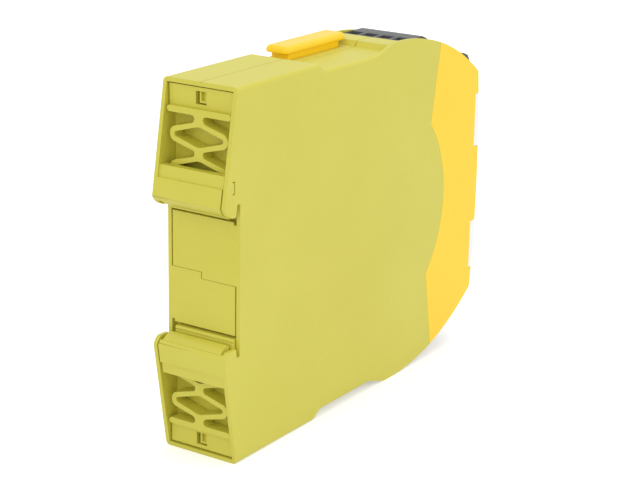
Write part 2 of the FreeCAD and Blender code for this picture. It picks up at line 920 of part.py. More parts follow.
def make_terminal_block(name, front, deck):
    """One pull-off block with its wire entries above and its screws in front."""
    bottom = deck + s.block_clearance
    top = bottom + s.block_height
    nose = -front
    back = nose + s.block_length
    half = inner_half - s.block_clearance
    wire = nose + s.wire_setback
    body = prism(name + "_body", "X", [
        (back, bottom),
        (back, top),
        (nose + s.block_nose, top),
        (nose + s.block_shoulder, top - s.block_drop),
        (nose, top - s.block_chin),
        (nose, bottom),
    ], -half, half)
    screw = top - s.screw_drop
    cage_top = top - s.cage_drop
    gap = s.fit_gap
    tools = []
    for number in range(POLES):
        across = pole_across(number)
        funnel = s.wire_hole / 2
        mouth = [(across - funnel, wire - funnel), (across + funnel, wire - funnel),
                 (across + funnel, wire + funnel), (across - funnel, wire + funnel)]
        angle = math.degrees(math.atan((s.wire_funnel - s.wire_hole).value / 2 / s.funnel_drop.value))
        tools.append(prism(f"{name}_funnel_{number}", "Z", mouth, top - s.funnel_drop, top + 0.3,
                           angle))
        tools.append(box(f"{name}_wire_way_{number}", (across - funnel, across + funnel),
                         (wire - funnel, wire + funnel), (cage_top - 1, top - s.funnel_drop / 2)))
        tools.append(box(f"{name}_cage_space_{number}",
                         (across - s.cage_width / 2 - gap, across + s.cage_width / 2 + gap),
                         (wire - s.cage_length / 2 - gap, wire + s.cage_length / 2 + gap),
                         (cage_top - s.cage_height - gap, cage_top + gap)))
        tools.append(rod(f"{name}_screw_bore_{number}", "Y", (across, nose - 1, screw),
                         s.screw_hole, s.wire_setback - s.cage_length / 2 + 1))
        pin = top - s.pin_drop
        tools.append(box(f"{name}_pin_way_{number}",
                         (across - s.pin_slot / 2, across + s.pin_slot / 2),
                         (back - s.pin_reach - 0.6, back + 1),
                         (pin - s.pin_slot / 2, pin + s.pin_slot / 2)))
    for number in range(1, POLES):
        across = pole_across(number) - s.pole_pitch / 2
        tools.append(box(f"{name}_rib_line_{number}",
                         (across - s.rib_groove / 2, across + s.rib_groove / 2),
                         (nose - 1, nose + s.rib_groove), (bottom - 1, top + 1)))
    return cut(name + "_solid", body, *tools)


def make_clamp_screw(name, number, front, deck):
    """A headless clamp screw that runs down its bore into the cage."""
    height = deck + s.block_clearance + s.block_height - s.screw_drop
    return rod(f"{name}_{number}", "Y", (pole_across(number), -front + s.screw_recess, height),
               s.screw_radius, s.screw_length)


def make_cage(name, number, front, deck):
    """The rising cage that the screw draws against the wire."""
    top = deck + s.block_clearance + s.block_height - s.cage_drop
    low = top - s.cage_height
    across = pole_across(number)
    wire = -front + s.wire_setback
    near = wire - s.cage_length / 2
    far = wire + s.cage_length / 2
    half = s.cage_width / 2
    outside = box(f"{name}_tube_{number}", (across - half, across + half), (near, far), (low, top))
    inside = box(f"{name}_mouth_{number}",
                 (across - half + s.cage_wall, across + half - s.cage_wall),
                 (near + s.cage_wall, far - s.cage_wall), (low - 1, top + 1))
    screw = top + s.cage_drop - s.screw_drop
    reach = s.screw_radius + s.fit_gap / 2
    thread = box(f"{name}_thread_{number}", (across - reach, across + reach),
                 (near - 1, near + s.cage_wall + 0.1), (screw - reach, top + 1))
    return cut(f"{name}_{number}", outside, inside, thread)


def make_header(name, depth, deck):
    """The header body that fills the window in the deck wall."""
    half = s.header_width / 2
    low = deck + s.fit_gap * 3
    return box(name, (-half, half), (-depth, -depth + s.header_length),
               (low, low + s.header_height))


def make_pins(name, depth, deck):
    """Four square pins that pass through the header and turn to the main board."""
    height = deck + s.block_clearance + s.block_height - s.pin_drop
    half = s.pin_size / 2
    pins = []
    for number in range(POLES):
        across = pole_across(number)
        tail = -depth + s.header_length + s.pin_size + s.tail_pitch * number
        ahead_pin = box(f"{name}_run_{number}", (across - half, across + half),
                        (-depth - s.pin_reach, tail + half), (height - half, height + half))
        board = s.board_left + s.board_wall
        bend = box(f"{name}_tail_{number}", (board, across + half),
                   (tail - half, tail + half), (height - half, height + half))
        pins.append(fuse(f"{name}_{number}", ahead_pin, bend))
    return group(name, pins)


def make_terminals():
    places = (
        ("rear", s.rear_block_front, s.rear_deck_depth, s.rear_deck_height),
        ("front", s.front_block_front, s.front_deck_depth, s.front_deck_height),
    )
    for row, front, depth, deck in places:
        key = "upper_" + row
        pieces = {
            "terminal_block": make_terminal_block(key + "_block", front, deck),
            "clamp_screws": group(key + "_screw_group", [
                make_clamp_screw(key + "_screw", number, front, deck) for number in range(POLES)]),
            "wire_cages": group(key + "_cage_group", [
                make_cage(key + "_cage", number, front, deck) for number in range(POLES)]),
            "pin_header": cut(key + "_header_solid", make_header(key + "_header_body", depth, deck),
                              make_pins(key + "_pin_holes", depth, deck)),
            "header_pins": make_pins(key + "_pin_group", depth, deck),
        }
        for kind, solid in pieces.items():
            node(f"{key}_{kind}", solid)
            node(f"lower_{row}_{kind}", mirror(f"lower_{row}_{kind}_solid", solid, "Z"))


# Rail spring and rail foot

def ring(name, middle, reach, rise, tall):
    """A rounded diamond: the outside of one spring loop, or the hole through it."""
    radius = rise * 1.08
    bend = reach - (radius - (radius * radius - rise * rise).root())
    tip = s.neck_width * 0.2
    return prism(name, "Y", [
        (tip, middle - tall),
        (bend, middle - rise),
        Arc(radius),
        (bend, middle + rise),
        (tip, middle + tall),
        (-tip, middle + tall),
        (-bend, middle + rise),
        Arc(radius),
        (-bend, middle - rise),
        (-tip, middle - tall),
    ], -s.pocket_depth + s.spring_back, s.spring_face)


def make_spring():
    """One moulding: anchor plate, crossbar and a chain of two springy diamonds."""
    back = -s.pocket_depth + s.spring_back
    span = (back, s.spring_face)
    half_bar = s.crossbar_width / 2
    round_end = s.crossbar_reach - half_bar
    bar = prism("spring_crossbar", "Y", [
        (-round_end, s.crossbar_height - half_bar),
        (round_end, s.crossbar_height - half_bar),
        Arc(half_bar + 0.02),
        (round_end, s.crossbar_height + half_bar),
        (-round_end, s.crossbar_height + half_bar),
        Arc(half_bar + 0.02),
    ], *span)
    plate = box("spring_anchor", (-s.anchor_reach, s.anchor_reach),
                (s.anchor_face - s.anchor_wall, s.anchor_face), (s.crossbar_height, s.anchor_height))
    half_window = s.window_side / 2
    window = box("spring_window", (-half_window, half_window), (-FAR, FAR),
                 (s.window_middle - half_window, s.window_middle + half_window))
    neck = s.neck_width / 2
    second = s.second_loop
    solids = [bar, plate]
    holes = [window]
    for number, middle in enumerate((s.loop_height, second)):
        wall = s.spring_wall
        solids.append(ring(f"spring_loop_{number}", middle, s.spring_reach, s.loop_rise, s.neck_rise))
        holes.append(ring(f"spring_hole_{number}", middle, s.spring_reach - wall * 1.15,
                          s.loop_rise - wall, s.neck_rise - wall))
    for number, (low, high, reach) in enumerate((
        (s.loop_height + s.neck_rise - 0.4, s.crossbar_height, span),
        (second + s.neck_rise - 0.4, s.loop_height - s.neck_rise + 0.4, span),
        (s.foot_top, second - s.neck_rise + 0.4, (back, s.foot_face)),
    )):
        solids.append(box(f"spring_neck_{number}", (-neck, neck), reach, (low, high)))
    return cut("upper_spring_solid", fuse("upper_spring_blank", *solids), *holes)


def make_foot():
    """The sliding foot that the spring presses against the rail's edge."""
    face = s.foot_face
    back = -s.pocket_depth + s.spring_back
    tip = s.foot_tip
    return prism("upper_foot_solid", "X", [
        (back, tip + s.foot_chamfer),
        (back + s.foot_chamfer, tip),
        (face - s.foot_chamfer, tip),
        (face, tip + s.foot_chamfer),
        (face, tip + 0.75),
        (face - 0.25, tip + 0.85),
        (face - 0.25, tip + 1.1),
        (face, tip + 1.2),
        (face, s.foot_top),
        (back, s.foot_top),
    ], -s.foot_short, s.foot_long)


def make_rail_latch():
    spring = make_spring()
    foot = make_foot()
    node("upper_rail_spring", spring)
    node("lower_rail_spring", turned("lower_spring_solid", spring))
    node("upper_rail_foot", foot)
    node("lower_rail_foot", turned("lower_foot_solid", foot))


# Link plug and socket

def make_link_plug():
    """The push-in link plug: an overhanging cap, a body and a narrower tongue."""
    across = s.plug_across
    half = s.cap_width / 2
    cap = prism("plug_cap", "Z", [
        (across - half, -s.cap_far),
        (across + half, -s.cap_far),
        (across + half, -s.cap_near),
        (across - half, -s.cap_near),
    ], s.cap_low, s.cap_high)
    rounded(cap, s.cap_corner, lambda edge: is_along(edge, "Z"))
    top = s.cap_high.value
    bevelled(cap, s.cap_round, lambda edge: all(abs(p.z - top) < 0.01 for p in ends_of(edge)))
    half_body = s.plug_width / 2
    body = box("plug_body", (across - half_body, across + half_body), (-s.plug_far, -s.plug_near),
               (s.plug_shoulder, s.cap_low))
    half_tongue = half_body - s.plug_step
    tongue = box("plug_tongue", (across - half_tongue, across + half_tongue),
                 (-s.plug_far + s.plug_step, -s.plug_near - s.plug_step),
                 (s.plug_foot, s.plug_shoulder))
    node("link_plug", fuse("link_plug_solid", cap, body, tongue))


def make_link_socket():
    """The open-topped socket under the plug, carried by the main board."""
    across = s.plug_across
    half = s.plug_width / 2 + s.fit_gap
    wall = s.socket_wall
    board = s.board_left + s.board_wall
    top = s.waist_half_height - s.top_wall
    low = s.socket_low
    outside = box("socket_outside", (across - half - wall, across + half + wall),
                  (-s.plug_far - wall, -s.plug_near + wall), (low, top - s.fit_gap))
    arm = box("socket_arm", (board, across), (-s.plug_far, -s.plug_near),
              (low, low + s.pad_size))
    deep = box("socket_deep", (across - half + s.plug_step, across + half - s.plug_step),
               (-s.plug_far + s.plug_step - s.fit_gap, -s.plug_near - s.plug_step + s.fit_gap),
               (s.plug_foot - s.fit_gap, top))
    wide = box("socket_wide", (across - half, across + half),
               (-s.plug_far - s.fit_gap, -s.plug_near + s.fit_gap), (s.plug_shoulder, top))
    node("link_socket", cut("link_socket_solid", fuse("socket_blank", outside, arm), deep, wide))


# Selector, lights and boards

def make_selector():
    """The screwdriver-slotted mode selector and the switch that it turns."""
    face = front_at(s.selector_height) + s.selector_sink
    back = -s.panel_depth - s.switch_depth
    rotor = rod("selector_rotor", "Y", (s.selector_across, face, s.selector_height),
                s.selector_radius, back - face)
    slot = box("selector_slot_space",
               (s.selector_across - s.selector_slot / 2, s.selector_across + s.selector_slot / 2),
               (face - 1, face + 1.2),
               (s.selector_height - s.selector_radius * 0.8,
                s.selector_height + s.selector_radius * 0.8))
    pointer = box("selector_pointer_space",
                  (s.selector_across - s.selector_slot, s.selector_across + s.selector_slot),
                  (face - 1, face + 0.4),
                  (s.selector_height + s.selector_radius * 0.45,
                   s.selector_height + s.selector_radius * 0.8))
    node("selector_knob", cut("selector_knob_solid", rotor, slot, pointer))
    half = s.switch_side / 2
    node("selector_switch", box("selector_switch_solid",
                                (s.selector_across - half, s.selector_across + half),
                                (back + s.fit_gap, -s.panel_depth),
                                (s.selector_height - half, s.selector_height + half)))


def make_lights():
    """Status lamps on the panel board and the light guides that carry them to the front."""
    guides = []
    lamps = []
    for number in range(WINDOWS):
        across, height = window_place(number)
        half_across = s.window_width / 2
        half_height = s.window_height / 2
        guides.append(box(f"guide_{number}", (across - half_across, across + half_across),
                          (front_at(height) - 0.05, -s.panel_depth - s.lamp_depth - s.fit_gap),
                          (height - half_height, height + half_height)))
        lamps.append(box(f"lamp_{number}", (across - s.lamp_width / 2, across + s.lamp_width / 2),
                         (-s.panel_depth - s.lamp_depth, -s.panel_depth),
                         (height - s.lamp_height / 2, height + s.lamp_height / 2)))
    node("light_guides", group("light_guide_group", guides))
    node("status_lamps", group("status_lamp_group", lamps))


def make_boards():
    left = s.board_left
    right = s.board_left + s.board_wall
    tall = s.board_half_height
    low = s.front_deck_height - s.deck_wall - 1.5
    node("main_board", prism("main_board_solid", "X", [
        (-s.board_rear, -tall),
        (-s.board_rear, tall),
        (-s.board_front, tall),
        (-s.board_front, low),
        (-s.panel_depth + s.board_wall, low),
        (-s.panel_depth + s.board_wall, -low),
        (-s.board_front, -low),
        (-s.board_front, -tall),
    ], left, right))
    half = inner_half - 0.5
    node("panel_board", box("panel_board_solid", (-half, half),
                            (-s.panel_depth, -s.panel_depth + s.board_wall),
                            (s.panel_low, s.panel_high)))


def make_inner_parts():
    """The parts on the main board: relays, power supply and controllers."""
    board = s.board_left + s.board_wall
    rear = -s.relay_rear
    for name, side in (("upper_relay", 1), ("lower_relay", -1)):
        near = s.relay_gap / 2 * side
        far = (s.relay_gap / 2 + s.relay_height) * side
        low, high = (near, far) if side > 0 else (far, near)
        node(name, box(name + "_solid", (board, board + s.relay_width),
                       (rear - s.relay_length, rear), (low, high)))
    make_transformer(board)
    side = s.waist_depth + s.waist_length / 2
    rise = s.socket_low - s.can_clearance - s.can_radius
    group_of("capacitors", [
        rod("can", "X", (board, -side, height), s.can_radius, s.can_length)
        for height in (rise, -rise)])
    near = -s.relay_rear - s.relay_length - s.chip_size
    chips = []
    for low in (s.chip_gap, -s.chip_gap - s.chip_size):
        chips.append(box("chip", (board, board + s.chip_thickness), (near - s.chip_size, near),
                         (low, low + s.chip_size)))
    group_of("controllers", chips)


def make_transformer(board):
    """A small two-window steel core with a coil through each window."""
    top = s.board_half_height + s.chip_gap
    low = top - s.core_height
    rear = -s.core_rear
    front = rear - s.core_length
    core = box("core_blank", (board, board + s.core_width), (front, rear), (low, top))
    gap = s.fit_gap
    side = (s.core_width - s.coil_width) / 2
    windows = []
    coils = []
    for number in range(2):
        base = low + s.core_limb + (s.core_height - s.core_limb) / 2 * number
        windows.append(box(f"core_window_{number}",
                           (board + side - gap, board + side + s.coil_width + gap),
                           (front - 1, rear + 1), (base - gap, base + s.coil_height + gap)))
        coils.append(box(f"coil_{number}", (board + side, board + side + s.coil_width),
                         (front - s.coil_overhang, rear + s.coil_overhang),
                         (base, base + s.coil_height)))
    node("transformer_core", cut("transformer_core_solid", core, *windows))
    group_of("transformer_coils", coils)


def group_of(name, pieces):
    node(name, group(name + "_group", pieces))


def check_and_write():
    doc.recompute()
    for item in doc.Objects:
        if "Invalid" in item.State or "Error" in item.State:
            raise RuntimeError(f"{item.Name} ({item.Label}) failed: {item.State}")
    os.makedirs("parts", exist_ok=True)
    for name, solid in nodes.items():
        shape = solid.Shape
        if shape.isNull() or not shape.isValid() or not shape.Solids:
            raise RuntimeError(f"{name} has no valid solid")
        shape.exportStep(f"parts/{name}.step")
        print(f"{name}: {len(shape.Solids)} solids, {shape.Volume:.1f} mm3")


whole_case = make_shells()
make_front_cover(whole_case)
make_label_plates()
make_terminals()
make_rail_latch()
make_link_plug()
make_link_socket()
make_selector()
make_lights()
make_boards()
make_inner_parts()
check_and_write()
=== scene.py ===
"""Looks for a rail-mounted safety relay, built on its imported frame. Everything is in metres."""

import math

import bmesh
import bpy
from mathutils import Matrix, Vector


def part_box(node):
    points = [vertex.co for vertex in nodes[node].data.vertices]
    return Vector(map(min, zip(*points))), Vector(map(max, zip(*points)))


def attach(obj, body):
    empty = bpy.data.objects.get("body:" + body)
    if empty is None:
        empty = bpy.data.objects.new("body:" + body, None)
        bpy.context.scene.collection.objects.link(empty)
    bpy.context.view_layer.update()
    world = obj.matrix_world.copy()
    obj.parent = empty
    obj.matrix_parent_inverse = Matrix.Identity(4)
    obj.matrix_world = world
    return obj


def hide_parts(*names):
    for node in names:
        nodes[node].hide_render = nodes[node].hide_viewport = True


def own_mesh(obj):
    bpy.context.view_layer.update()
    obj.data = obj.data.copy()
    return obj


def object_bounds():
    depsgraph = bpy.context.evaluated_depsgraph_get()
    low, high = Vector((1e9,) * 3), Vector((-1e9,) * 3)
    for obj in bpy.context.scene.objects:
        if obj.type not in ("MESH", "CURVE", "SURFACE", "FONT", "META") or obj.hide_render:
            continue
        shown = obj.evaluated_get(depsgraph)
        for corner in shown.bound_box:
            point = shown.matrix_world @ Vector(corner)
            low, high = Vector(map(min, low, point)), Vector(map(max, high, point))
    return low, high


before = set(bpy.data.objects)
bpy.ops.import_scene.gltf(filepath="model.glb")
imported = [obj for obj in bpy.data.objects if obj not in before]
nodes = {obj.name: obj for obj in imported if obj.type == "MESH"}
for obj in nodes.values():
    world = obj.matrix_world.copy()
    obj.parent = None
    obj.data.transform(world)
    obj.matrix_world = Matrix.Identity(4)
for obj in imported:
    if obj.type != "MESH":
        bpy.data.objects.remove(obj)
cad_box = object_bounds()
scene = bpy.context.scene
MM = 0.001


# Half shells
# Two injection moulded halves of one pattern in olive-yellow polycarbonate blend. They are
# snapped together along the middle, and each carries one hook bar and one seat plate.
# The tool was spark eroded, which leaves a fine, dull, even grain.

OLIVE = "#d2ca4b"
OLIVE_DEEP = "#ccc440"
SHELL_GRAIN = 0.22 * MM  # the real grain is about 0.08 mm, drawn coarser so that it shows
GRAIN_DEPTH = 0.012 * MM
SHELL_EDGE = 0.22 * MM
DRIFT_SIZE = 30 * MM  # the slow change of colour along a moulding
MOTTLE_SIZE = 1.6 * MM  # the faint clouds that the flow leaves
MOTTLE_SHARE = 0.35
PLASTIC_IOR = 1.53
MERGE_WITHIN = 0.002 * MM
FLAT_WITHIN = math.radians(0.6)
SHARP_FROM = math.radians(35)  # edges that turn more than this get a rounding
SMOOTH_BELOW = math.radians(32)  # edges that turn less than this are shaded as one surface
SLIM = 2.2  # faces and edges smaller than this many roundings stay as they are


def linear(colour):
    """An sRGB hex colour as linear red, green, blue and alpha."""
    values = [int(colour[i:i + 2], 16) / 255 for i in (1, 3, 5)]
    low = [v / 12.92 if v <= 0.04045 else ((v + 0.055) / 1.055) ** 2.4 for v in values]
    return (*low, 1.0)


def add_node(tree, kind, settings=None, **links):
    """Adds a shader node, sets its inputs by name, and links other nodes' outputs into it."""
    made = tree.nodes.new(kind)
    for name, value in (settings or {}).items():
        if name in made.inputs:
            made.inputs[name].default_value = value
        else:
            setattr(made, name, value)
    for name, source in links.items():
        tree.links.new(source, made.inputs[name.replace("_", " ")])
    return made


def moulded_plastic(name, light, deep, roughness, grain, depth):
    """Moulded plastic: slow drift in colour, faint flow mottling and an even eroded grain."""
    material = bpy.data.materials.new(name)
    material.use_nodes = True
    tree = material.node_tree
    shader = tree.nodes["Principled BSDF"]
    place = add_node(tree, "ShaderNodeTexCoord").outputs["Object"]
    drift = add_node(tree, "ShaderNodeTexNoise", {"Scale": 1 / DRIFT_SIZE, "Detail": 2.0},
                     Vector=place)
    mottle = add_node(tree, "ShaderNodeTexNoise", {"Scale": 1 / MOTTLE_SIZE, "Detail": 3.0},
                      Vector=place)
    both = add_node(tree, "ShaderNodeMath", {"operation": "MULTIPLY_ADD"})
    tree.links.new(mottle.outputs["Fac"], both.inputs[0])
    both.inputs[1].default_value = MOTTLE_SHARE
    tree.links.new(drift.outputs["Fac"], both.inputs[2])
    ramp = add_node(tree, "ShaderNodeValToRGB", Fac=both.outputs["Value"])
    ramp.color_ramp.elements[0].position = 0.35
    ramp.color_ramp.elements[0].color = linear(deep)
    ramp.color_ramp.elements[1].position = 0.95
    ramp.color_ramp.elements[1].color = linear(light)
    tree.links.new(ramp.outputs["Color"], shader.inputs["Base Color"])
    fine = add_node(tree, "ShaderNodeTexNoise", {"Scale": 1 / grain, "Detail": 2.0}, Vector=place)
    gloss = add_node(tree, "ShaderNodeMapRange", {"To Min": roughness - 0.05,
                                                  "To Max": roughness + 0.06})
    tree.links.new(fine.outputs["Fac"], gloss.inputs["Value"])
    tree.links.new(gloss.outputs["Result"], shader.inputs["Roughness"])
    bump = add_node(tree, "ShaderNodeBump", {"Strength": 0.5, "Distance": depth},
                    Height=fine.outputs["Fac"])
    tree.links.new(bump.outputs["Normal"], shader.inputs["Normal"])
    shader.inputs["IOR"].default_value = PLASTIC_IOR
    return material


def wears(piece, material):
    """Gives a piece one material all over."""
    piece.data.materials.clear()
    piece.data.materials.append(material)
    for face in piece.data.polygons:
        face.material_index = 0


def whole_mesh(node):
    """A copy of a CAD node's mesh with its loose triangles joined into clean flat faces."""
    work = bmesh.new()
    work.from_mesh(nodes[node].data)
    bmesh.ops.remove_doubles(work, verts=work.verts, dist=MERGE_WITHIN)
    bmesh.ops.dissolve_limit(work, angle_limit=FLAT_WITHIN, verts=work.verts, edges=work.edges,
                             use_dissolve_boundaries=False)
    return work


def soften(work, width, segments=2):
    """Rounds the sharp moulded edges of a mesh, but leaves grooves and slivers alone."""
    slim = {}
    for face in work.faces:
        longest = max(edge.calc_length() for edge in face.edges)
        slim[face] = face.calc_area() / longest < width * SLIM
    chosen = []
    for edge in work.edges:
        if len(edge.link_faces) != 2 or edge.calc_face_angle(0) < SHARP_FROM:
            continue
        if any(slim[face] for face in edge.link_faces) or edge.calc_length() < width * SLIM:
            continue
        chosen.append(edge)
    bmesh.ops.bevel(work, geom=chosen, offset=width, offset_type="OFFSET", affect="EDGES",
                    segments=segments, profile=0.5, material=-1, clamp_overlap=True,
                    loop_slide=True)
    return work


def piece_from(work, name, body):
    """Turns a worked mesh into a piece that rides on a body."""
    mesh = bpy.data.meshes.new(name)
    work.to_mesh(mesh)
    work.free()
    for face in mesh.polygons:
        face.use_smooth = True
    mesh.set_sharp_from_angle(angle=SMOOTH_BELOW)
    piece = bpy.data.objects.new(name, mesh)
    scene.collection.objects.link(piece)
    flat_first = piece.modifiers.new("flat_faces_stay_flat", "WEIGHTED_NORMAL")
    flat_first.mode = "FACE_AREA"
    flat_first.weight = 60
    flat_first.keep_sharp = True
    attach(piece, body)
    return piece


shell_plastic = moulded_plastic("olive_moulded_polycarbonate", OLIVE, OLIVE_DEEP, roughness=0.46,
                                grain=SHELL_GRAIN, depth=GRAIN_DEPTH)
ROOF = 49.0 * MM
WAIST = 47.0 * MM
RAMP = (-34.8 * MM, -37.1 * MM)  # where the plain step leaves the roof and meets the waist
CURVE = (-33.9 * MM, -38.1 * MM)  # where the curve that softens it starts and ends
RIM_HEIGHT = 1.15 * MM  # height of the rounding along the roof's long edges
ROOF_CUTS = 8


def share(value, span):
    """How far a value is along a span, from 0 to 1."""
    return min(max((value - span[0]) / (span[1] - span[0]), 0.0), 1.0)


def curve_roof_steps(work):
    """Softens the step from the roof down to the waist into a gentle curve, above and below."""
    for number in range(ROOF_CUTS):
        cut = (0, CURVE[0] + (CURVE[1] - CURVE[0]) * number / (ROOF_CUTS - 1), 0)
        bmesh.ops.bisect_plane(work, geom=work.verts[:] + work.edges[:] + work.faces[:],
                               plane_co=cut, plane_no=(0, 1, 0))
    for vert in work.verts:
        plain = ROOF + (WAIST - ROOF) * share(vert.co.y, RAMP)
        along = share(vert.co.y, CURVE)
        soft = ROOF + (WAIST - ROOF) * along * along * (3 - 2 * along)
        if abs(vert.co.z) > plain - RIM_HEIGHT:
            vert.co.z += (soft - plain) * math.copysign(1.0, vert.co.z)
    return work


for side in ("left", "right"):
    work = soften(curve_roof_steps(whole_mesh(side + "_shell")), SHELL_EDGE)
    shell = piece_from(work, side + "_shell_moulding", "housing")
    wears(shell, shell_plastic)
    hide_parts(side + "_shell")


# Rail springs
# One long flat moulding at each end: an anchor plate that snaps over a nib, a crossbar, and a
# chain of two diamonds that flex as the foot moves, while the anchor stays put. The moulding is
# cut in two near the crossbar, and the diamonds get a mesh of their own.

SPRING_EDGE = 0.16 * MM
CROSSBAR_MIDDLE = 41.4 * MM
SPLIT_INSET = 0.6 * MM  # the moulding is split this much nearer the rail than that middle
NECK_SIDES = (1.0 * MM, 1.6 * MM)  # the sides of the necks lie between these, left and right
NECK_FILLETS = (  # from height, to height and radius
    (36 * MM, 42 * MM, 0.9 * MM),
    (28.5 * MM, 33 * MM, 0.5 * MM),
)


def round_edges(work, edges, radius, segments):
    """Rounds the chosen edges of a mesh to one radius."""
    bmesh.ops.bevel(work, geom=edges, offset=radius, offset_type="OFFSET", affect="EDGES",
                    segments=segments, profile=0.5, material=-1, clamp_overlap=True)


def fillet_necks(work):
    """Rounds the inner corners where the arms of the diamonds run into the necks."""
    for near, far, radius in NECK_FILLETS:
        corners = []
        for edge in work.edges:
            first, second = (v.co for v in edge.verts)
            along = abs(first.y - second.y) > 0.99 * (first - second).length
            beside = NECK_SIDES[0] < abs(first.x) < NECK_SIDES[1]
            if along and beside and near < abs(first.z) < far:
                corners.append(edge)
        round_edges(work, corners, radius, 4)
    return work


for end, way in (("upper", 1), ("lower", -1)):
    for part in ("anchor", "diamonds"):
        work = soften(fillet_necks(whole_mesh(end + "_rail_spring")), SPRING_EDGE)
        split = Vector((0, 0, way * (CROSSBAR_MIDDLE - SPLIT_INSET)))
        outward = Vector((0, 0, way if part == "diamonds" else -way))
        result = bmesh.ops.bisect_plane(work, geom=work.verts[:] + work.edges[:] + work.faces[:],
                                        plane_co=split, plane_no=outward, clear_outer=True)
        rim = [item for item in result["geom_cut"] if isinstance(item, bmesh.types.BMEdge)]
        bmesh.ops.holes_fill(work, edges=rim)
        bmesh.ops.recalc_face_normals(work, faces=work.faces)
        spring = piece_from(work, end + "_spring_" + part, "housing")
        wears(spring, shell_plastic)
        if part == "anchor":
            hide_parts(end + "_rail_spring")
        else:
            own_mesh(spring)


# Rail feet
# The bar that the spring pushes against the edge of the rail. Its tip is chamfered so that it
# rides over the rail, and a shallow line runs along its face.

FOOT_EDGE = 0.12 * MM

for end in ("upper", "lower"):
    work = soften(whole_mesh(end + "_rail_foot"), FOOT_EDGE)
    foot = piece_from(work, end + "_foot_bar", end + "_foot")
    wears(foot, shell_plastic)
    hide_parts(end + "_rail_foot")


# Front cover
# A warm yellow cap of the same plastic that closes the front and meets the shells in a curved
# line. It has two shallow places for labels, a hole for the selector and five light windows.

WARM_YELLOW = "#ffd506"
WARM_DEEP = "#ffcf03"

cover_plastic = moulded_plastic("warm_yellow_moulded_polycarbonate", WARM_YELLOW, WARM_DEEP,
                                roughness=0.44, grain=SHELL_GRAIN, depth=GRAIN_DEPTH)
work = soften(whole_mesh("front_cover"), SHELL_EDGE)
cover = piece_from(work, "front_cover_moulding", "housing")
wears(cover, cover_plastic)
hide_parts("front_cover")


# Label plates
# Blank white carriers for the user's own markings, pressed into the cover. They are smooth
# acrylic film over a moulded plate, so they are glossier than the housing.

LABEL_EDGE = 0.2 * MM

label_film = moulded_plastic("white_label_film", "#f6f6f2", "#efefea", roughness=0.32,
                             grain=0.4 * MM, depth=0.004 * MM)
for end in ("upper", "lower"):
    work = soften(whole_mesh(end + "_label_plate"), LABEL_EDGE)
    plate = piece_from(work, end + "_label_carrier", "housing")
    wears(plate, label_film)
    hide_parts(end + "_label_plate")


# Link plug
# A push-in plug in bright yellow polyamide that joins the unit to its neighbour. Its cap is
# softly rounded, overhangs the body all round and is a little glossier than the housing.

PLUG_YELLOW = "#ffd200"
PLUG_DEEP = "#ffca00"
CAP_HEIGHT = 1.9 * MM
CAP_CORNER = 1.6 * MM
CAP_ROUND = 1.4 * MM
CAP_UNDERSIDE_ROUND = 0.2 * MM
CAP_OVER_SIDES = 0.8 * MM
CAP_OVER_FRONT = 2.4 * MM
CAP_OVER_BACK = 2.0 * MM
PLUG_BODY_FOOT = 44 * MM
PLUG_BODY_CORNER = 0.7 * MM
TONGUE_STEP = 0.5 * MM
TONGUE_CORNER = 0.4 * MM
PLUG_OVERLAP = 0.3 * MM  # each part of the plug runs this far into the part above it
LEVEL = 1e-6  # heights and depths closer than this, a thousandth of a millimetre, are one
TURNED = 0.5  # in radians: the edges round a face turn more than the facets of a rounding do

plug_plastic = moulded_plastic("bright_yellow_polyamide", PLUG_YELLOW, PLUG_DEEP, roughness=0.36,
                               grain=0.3 * MM, depth=0.006 * MM)


def block_mesh(low, high):
    """A closed box from two corners."""
    work = bmesh.new()
    size = Vector(high) - Vector(low)
    middle = (Vector(high) + Vector(low)) / 2
    place = Matrix.Translation(middle) @ Matrix.Diagonal((*size, 1.0))
    bmesh.ops.create_cube(work, size=1.0, matrix=place)
    return work


def upright(edge):
    """Whether an edge runs straight up."""
    run = edge.verts[1].co - edge.verts[0].co
    return abs(run.z) > 0.99 * run.length


plug_low, plug_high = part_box("link_plug")
cap_base = plug_high.z - CAP_HEIGHT
work = block_mesh((plug_low.x, plug_low.y, cap_base), plug_high)
round_edges(work, [e for e in work.edges if upright(e)], CAP_CORNER, 8)
top_rim = [e for e in work.edges if all(v.co.z > plug_high.z - LEVEL for v in e.verts)]
round_edges(work, top_rim, CAP_ROUND, 6)
low_rim = [e for e in work.edges if all(v.co.z < cap_base + LEVEL for v in e.verts)
           and e.calc_face_angle(0) > TURNED]
round_edges(work, low_rim, CAP_UNDERSIDE_ROUND, 3)
body_low = Vector((plug_low.x + CAP_OVER_SIDES, plug_low.y + CAP_OVER_FRONT, PLUG_BODY_FOOT))
body_high = Vector((plug_high.x - CAP_OVER_SIDES, plug_high.y - CAP_OVER_BACK,
                    cap_base + PLUG_OVERLAP))
tongue_low = Vector((body_low.x + TONGUE_STEP, body_low.y + TONGUE_STEP, plug_low.z))
tongue_high = Vector((body_high.x - TONGUE_STEP, body_high.y - TONGUE_STEP,
                      PLUG_BODY_FOOT + PLUG_OVERLAP))
for low, high, radius in (
    (body_low, body_high, PLUG_BODY_CORNER), (tongue_low, tongue_high, TONGUE_CORNER),
):
    part = block_mesh(low, high)
    round_edges(part, [e for e in part.edges if upright(e)], radius, 4)
    carried = bpy.data.meshes.new("plug_part")
    part.to_mesh(carried)
    part.free()
    work.from_mesh(carried)
    bpy.data.meshes.remove(carried)
plug = piece_from(work, "link_plug_cap", "link_plug")
wears(plug, plug_plastic)
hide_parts("link_plug")


# Terminal blocks
# Pull-off blocks in dark grey glass-filled polyamide. The glass gives a dull, slightly uneven
# skin. Each block has four funnel-shaped wire entries and four holes for the clamp screws.

BLOCK_EDGE = 0.15 * MM

